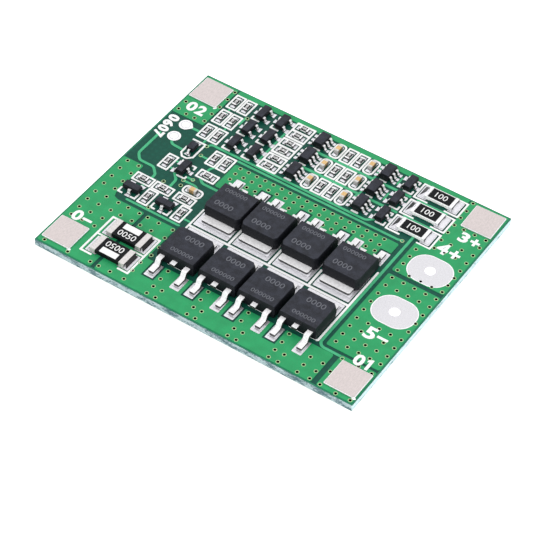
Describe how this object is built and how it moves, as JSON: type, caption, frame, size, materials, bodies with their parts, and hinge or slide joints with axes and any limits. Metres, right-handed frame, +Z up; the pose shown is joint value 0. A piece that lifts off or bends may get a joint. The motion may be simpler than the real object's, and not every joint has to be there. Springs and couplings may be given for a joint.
{
  "type": "battery management board",
  "caption": "Flat green circuit board that guards a lithium cell pack: power transistors, shunts, chip parts, weld tabs at the corners and pads for the pack wires.",
  "frame": {"origin": "centre of the board's underside", "axes": "+X along the long side towards the power pads, +Y towards the edge with the monitoring chips, +Z up out of the component side"},
  "size_m": [0.056, 0.045, 0.0036],
  "materials": {
    "laminate": "green solder mask over glass-fibre laminate",
    "masked_copper": "green solder mask over copper",
    "legend": "printed white ink",
    "tin": "tin plate and set solder",
    "nickel": "rolled nickel strip",
    "lead_plate": "tin-plated copper lead frame",
    "moulding": "black moulded epoxy",
    "film": "black film over white ceramic",
    "capacitor_ceramic": "tan fired ceramic"
  },
  "bodies": {
    "root": {"circuit_board": "laminate", "masked_copper": "masked_copper", "printed_legend": "legend", "solder_pads": "tin", "weld_tab_b_minus": "nickel", "weld_tab_b1": "nickel", "weld_tab_b2": "nickel", "weld_tab_b_plus": "nickel", "p_plus_pad": "tin", "p_minus_pad": "tin", "s1_pad": "tin", "s2_pad": "tin", "mosfet_1_body": "moulding", "mosfet_1_lead_frame": "lead_plate", "mosfet_2_body": "moulding", "mosfet_2_lead_frame": "lead_plate", "mosfet_3_body": "moulding", "mosfet_3_lead_frame": "lead_plate", "mosfet_4_body": "moulding", "mosfet_4_lead_frame": "lead_plate", "mosfet_5_body": "moulding", "mosfet_5_lead_frame": "lead_plate", "mosfet_6_body": "moulding", "mosfet_6_lead_frame": "lead_plate", "mosfet_7_body": "moulding", "mosfet_7_lead_frame": "lead_plate", "mosfet_8_body": "moulding", "mosfet_8_lead_frame": "lead_plate", "shunt_1_body": "film", "shunt_1_terminals": "lead_plate", "shunt_2_body": "film", "shunt_2_terminals": "lead_plate", "balance_resistor_1_body": "film", "balance_resistor_1_terminals": "lead_plate", "balance_resistor_2_body": "film", "balance_resistor_2_terminals": "lead_plate", "balance_resistor_3_body": "film", "balance_resistor_3_terminals": "lead_plate", "monitor_chip_1_body": "moulding", "monitor_chip_1_leads": "lead_plate", "monitor_chip_2_body": "moulding", "monitor_chip_2_leads": "lead_plate", "monitor_chip_3_body": "moulding", "monitor_chip_3_leads": "lead_plate", "monitor_chip_4_body": "moulding", "monitor_chip_4_leads": "lead_plate", "monitor_chip_5_body": "moulding", "monitor_chip_5_leads": "lead_plate", "monitor_chip_6_body": "moulding", "monitor_chip_6_leads": "lead_plate", "small_transistor_bodies": "moulding", "small_transistor_leads": "lead_plate", "diode_body": "moulding", "diode_leads": "lead_plate", "chip_resistor_bodies": "film", "chip_resistor_terminals": "lead_plate", "chip_capacitor_bodies": "capacitor_ceramic", "chip_capacitor_terminals": "lead_plate"}
  },
  "joints": []
}
